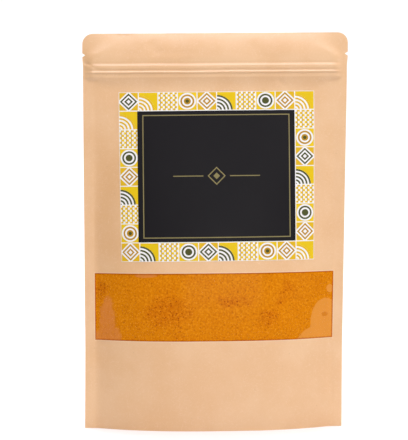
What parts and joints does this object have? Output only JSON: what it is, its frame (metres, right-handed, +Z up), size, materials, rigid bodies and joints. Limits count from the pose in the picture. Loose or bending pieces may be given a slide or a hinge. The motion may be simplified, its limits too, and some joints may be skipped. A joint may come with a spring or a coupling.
{
  "type": "stand-up pouch of ground turmeric",
  "caption": "Filled kraft paper stand-up pouch with a press-to-close zip, tear notches, a front label, a clear window band and a bottom gusset.",
  "frame": {"origin": "on the floor, under the middle of the pouch, between its front and back bottom hems", "axes": "+Z up along the pouch's height, -Y towards the front panel with the window and the label, +X to the right as seen from the front"},
  "size_m": [0.1602, 0.0364, 0.2382],
  "materials": {
    "kraft_paper": "matte kraft laminate",
    "clear_film": "clear gloss film",
    "zip_plastic": "satin polyethylene",
    "turmeric": null,
    "label_print": "printed paper sticker, satin"
  },
  "bodies": {
    "root": {"front_panel": "kraft_paper", "back_panel": "kraft_paper", "bottom_gusset": "kraft_paper", "window_film": "clear_film", "zip_socket_strip": "zip_plastic", "zip_rib_strip": "zip_plastic", "turmeric_powder": "turmeric", "label": "label_print"}
  },
  "joints": []
}
